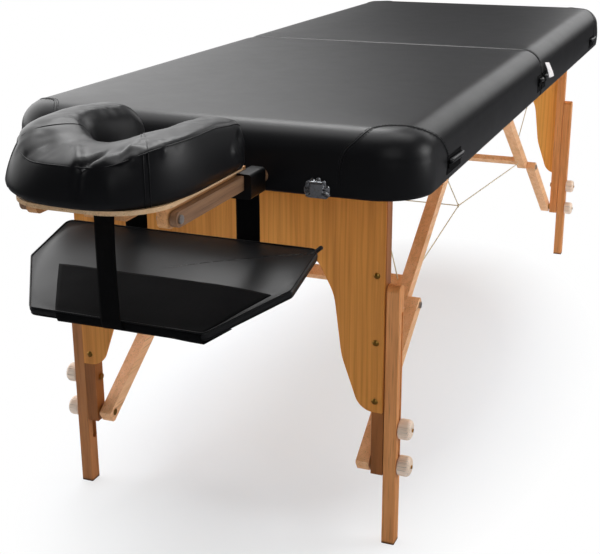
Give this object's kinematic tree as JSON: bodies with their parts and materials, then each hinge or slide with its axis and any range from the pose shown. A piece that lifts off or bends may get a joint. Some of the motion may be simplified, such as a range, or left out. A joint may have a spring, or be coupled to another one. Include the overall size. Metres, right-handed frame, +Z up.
{
  "type": "portable massage table",
  "caption": "Folding two-section massage table, black vinyl on beech, with braces, cables, face cradle and hanging arm shelf.",
  "frame": {"origin": "under the middle of the whole length, on the floor", "axes": "+X from the face cradle to the foot end, +Y to the left of someone lying face down with the head in the cradle, +Z up"},
  "size_m": [2.208, 0.71, 0.7527],
  "materials": {
    "black_vinyl": "black upholstery vinyl, soft sheen",
    "veneer": "golden brown veneer with fine vertical grain",
    "plywood": "birch plywood",
    "strut_wood": "oiled beech, a little redder than the legs",
    "beech": "oiled beech",
    "pale_beech": "pale turned beech",
    "black_plastic": "black moulded plastic",
    "zinc_steel": "zinc plated steel",
    "brass_fixings": "brass coloured screws and bolts",
    "chrome": "bright chrome plate",
    "black_webbing": "black woven webbing and cloth",
    "white_label": "bare white woven tab"
  },
  "bodies": {
    "head_frame": {"head_blocks": "beech", "head_cross_rails": "beech", "head_deck": "plywood", "head_hinge_leaves": "zinc_steel", "head_lugs": "black_webbing", "head_pad": "black_vinyl", "head_pivot_bolts": "zinc_steel", "head_side_rails": "beech", "head_skirt": "black_vinyl", "latch_bases": "chrome", "cables": "zinc_steel"},
    "foot_frame": {"foot_blocks": "beech", "foot_cross_rails": "beech", "foot_deck": "plywood", "foot_hinge_leaves": "zinc_steel", "foot_lugs": "black_webbing", "foot_pad": "black_vinyl", "foot_pivot_bolts": "zinc_steel", "foot_side_rails": "beech", "foot_skirt": "black_vinyl", "foot_label_tab": "white_label"},
    "head_legs": {"head_leg_left": "beech", "head_leg_right": "beech", "head_panel": "veneer", "head_leg_fasteners": "brass_fixings"},
    "head_lower_brace": {"head_lower_struts": "strut_wood", "head_knee_bolts": "zinc_steel"},
    "head_upper_brace": {"head_upper_struts": "strut_wood"},
    "head_left_extension": {"head_ext_left": "beech"},
    "head_left_low_knob": {"head_knob_left_low": "pale_beech"},
    "head_left_high_knob": {"head_knob_left_high": "pale_beech"},
    "head_right_extension": {"head_ext_right": "beech"},
    "head_right_low_knob": {"head_knob_right_low": "pale_beech"},
    "head_right_high_knob": {"head_knob_right_high": "pale_beech"},
    "foot_legs": {"foot_leg_left": "beech", "foot_leg_right": "beech", "foot_panel": "veneer", "foot_leg_fasteners": "brass_fixings"},
    "foot_lower_brace": {"foot_lower_struts": "strut_wood", "foot_knee_bolts": "zinc_steel"},
    "foot_upper_brace": {"foot_upper_struts": "strut_wood"},
    "foot_left_extension": {"foot_ext_left": "beech"},
    "foot_left_low_knob": {"foot_knob_left_low": "pale_beech"},
    "foot_left_high_knob": {"foot_knob_left_high": "pale_beech"},
    "foot_right_extension": {"foot_ext_right": "beech"},
    "foot_right_low_knob": {"foot_knob_right_low": "pale_beech"},
    "foot_right_high_knob": {"foot_knob_right_high": "pale_beech"},
    "latch_right": {"latch_lever_right": "chrome"},
    "latch_left": {"latch_lever_left": "chrome"},
    "cradle_base": {"cradle_dowels": "beech", "cradle_clamps": "black_plastic", "cradle_links": "beech", "cradle_tilt_bolts": "zinc_steel", "shelf_straps": "black_webbing"},
    "cradle_top": {"cradle_rails": "beech", "cradle_plate": "plywood", "cradle_cushion": "black_vinyl"},
    "arm_shelf": {"shelf_pad": "black_vinyl", "shelf_sleeve": "black_webbing"}
  },
  "joints": [
    {"name": "centre_fold", "type": "hinge", "parent": "head_frame", "child": "foot_frame", "pos_m": [0.179, 0, 0.609], "axis": [0, 1, 0], "range_deg": [0, 100], "deforming": ["cables"]},
    {"name": "head_leg_fold", "type": "hinge", "parent": "head_frame", "child": "head_legs", "pos_m": [-0.6505, 0, 0.634], "axis": [0, -1, 0], "range_deg": [0, 90], "deforming": ["cables"]},
    {"name": "head_lower_brace_fold", "type": "hinge", "parent": "head_legs", "child": "head_lower_brace", "pos_m": [-0.646, 0, 0.1416], "axis": [0, -1, 0], "range_deg": [0, 56], "deforming": ["cables"]},
    {"name": "head_upper_brace_fold", "type": "hinge", "parent": "head_frame", "child": "head_upper_brace", "pos_m": [0.089, 0, 0.6385], "axis": [0, -1, 0], "range_deg": [-34.1, 0], "deforming": ["cables"]},
    {"name": "head_right_leg_height", "type": "slide", "parent": "head_legs", "child": "head_right_extension", "axis": [0, 0, 1], "range_m": [-0.198, 0]},
    {"name": "head_right_low_knob_turn", "type": "hinge", "parent": "head_legs", "child": "head_right_low_knob", "pos_m": [-0.646, -0.3113, 0.1416], "axis": [0, 1, 0], "continuous": true},
    {"name": "head_right_high_knob_turn", "type": "hinge", "parent": "head_legs", "child": "head_right_high_knob", "pos_m": [-0.646, -0.3113, 0.2076], "axis": [0, 1, 0], "continuous": true},
    {"name": "head_left_leg_height", "type": "slide", "parent": "head_legs", "child": "head_left_extension", "axis": [0, 0, 1], "range_m": [-0.198, 0]},
    {"name": "head_left_low_knob_turn", "type": "hinge", "parent": "head_legs", "child": "head_left_low_knob", "pos_m": [-0.646, 0.3113, 0.1416], "axis": [0, 1, 0], "continuous": true},
    {"name": "head_left_high_knob_turn", "type": "hinge", "parent": "head_legs", "child": "head_left_high_knob", "pos_m": [-0.646, 0.3113, 0.2076], "axis": [0, 1, 0], "continuous": true},
    {"name": "foot_leg_fold", "type": "hinge", "parent": "foot_frame", "child": "foot_legs", "pos_m": [1.0085, 0, 0.634], "axis": [0, 1, 0], "range_deg": [0, 90], "deforming": ["cables"]},
    {"name": "foot_lower_brace_fold", "type": "hinge", "parent": "foot_legs", "child": "foot_lower_brace", "pos_m": [1.004, 0, 0.1416], "axis": [0, 1, 0], "range_deg": [0, 56], "deforming": ["cables"]},
    {"name": "foot_upper_brace_fold", "type": "hinge", "parent": "foot_frame", "child": "foot_upper_brace", "pos_m": [0.269, 0, 0.6385], "axis": [0, 1, 0], "range_deg": [-34.1, 0], "deforming": ["cables"]},
    {"name": "foot_right_leg_height", "type": "slide", "parent": "foot_legs", "child": "foot_right_extension", "axis": [0, 0, 1], "range_m": [-0.198, 0]},
    {"name": "foot_right_low_knob_turn", "type": "hinge", "parent": "foot_legs", "child": "foot_right_low_knob", "pos_m": [1.004, -0.3113, 0.1416], "axis": [0, 1, 0], "continuous": true},
    {"name": "foot_right_high_knob_turn", "type": "hinge", "parent": "foot_legs", "child": "foot_right_high_knob", "pos_m": [1.004, -0.3113, 0.2076], "axis": [0, 1, 0], "continuous": true},
    {"name": "foot_left_leg_height", "type": "slide", "parent": "foot_legs", "child": "foot_left_extension", "axis": [0, 0, 1], "range_m": [-0.198, 0]},
    {"name": "foot_left_low_knob_turn", "type": "hinge", "parent": "foot_legs", "child": "foot_left_low_knob", "pos_m": [1.004, 0.3113, 0.1416], "axis": [0, 1, 0], "continuous": true},
    {"name": "foot_left_high_knob_turn", "type": "hinge", "parent": "foot_legs", "child": "foot_left_high_knob", "pos_m": [1.004, 0.3113, 0.2076], "axis": [0, 1, 0], "continuous": true},
    {"name": "latch_right_lever", "type": "hinge", "parent": "head_frame", "child": "latch_right", "pos_m": [-0.7512, -0.196, 0.633], "axis": [0, 1, 0], "range_deg": [0, 90]},
    {"name": "latch_left_lever", "type": "hinge", "parent": "head_frame", "child": "latch_left", "pos_m": [-0.7512, 0.196, 0.633], "axis": [0, 1, 0], "range_deg": [0, 90]},
    {"name": "cradle_slide", "type": "slide", "parent": "head_frame", "child": "cradle_base", "axis": [-1, 0, 0], "range_m": [0, 0.1]},
    {"name": "cradle_tilt", "type": "hinge", "parent": "cradle_base", "child": "cradle_top", "pos_m": [-1.022, 0, 0.644], "axis": [0, -1, 0], "range_deg": [0, 40], "deforming": ["shelf_straps"]},
    {"name": "shelf_swing", "type": "hinge", "parent": "cradle_base", "child": "arm_shelf", "pos_m": [-0.8856, 0, 0.62], "axis": [0, 1, 0], "range_deg": [-10, 10], "deforming": ["shelf_straps"]}
  ],
  "couplings": [
    {"joint": "head_lower_brace_fold", "follows": "head_leg_fold", "ratio": 0.62154},
    {"joint": "head_upper_brace_fold", "follows": "head_leg_fold", "ratio": -0.37846},
    {"joint": "foot_lower_brace_fold", "follows": "foot_leg_fold", "ratio": 0.62154},
    {"joint": "foot_upper_brace_fold", "follows": "foot_leg_fold", "ratio": -0.37846}
  ]
}
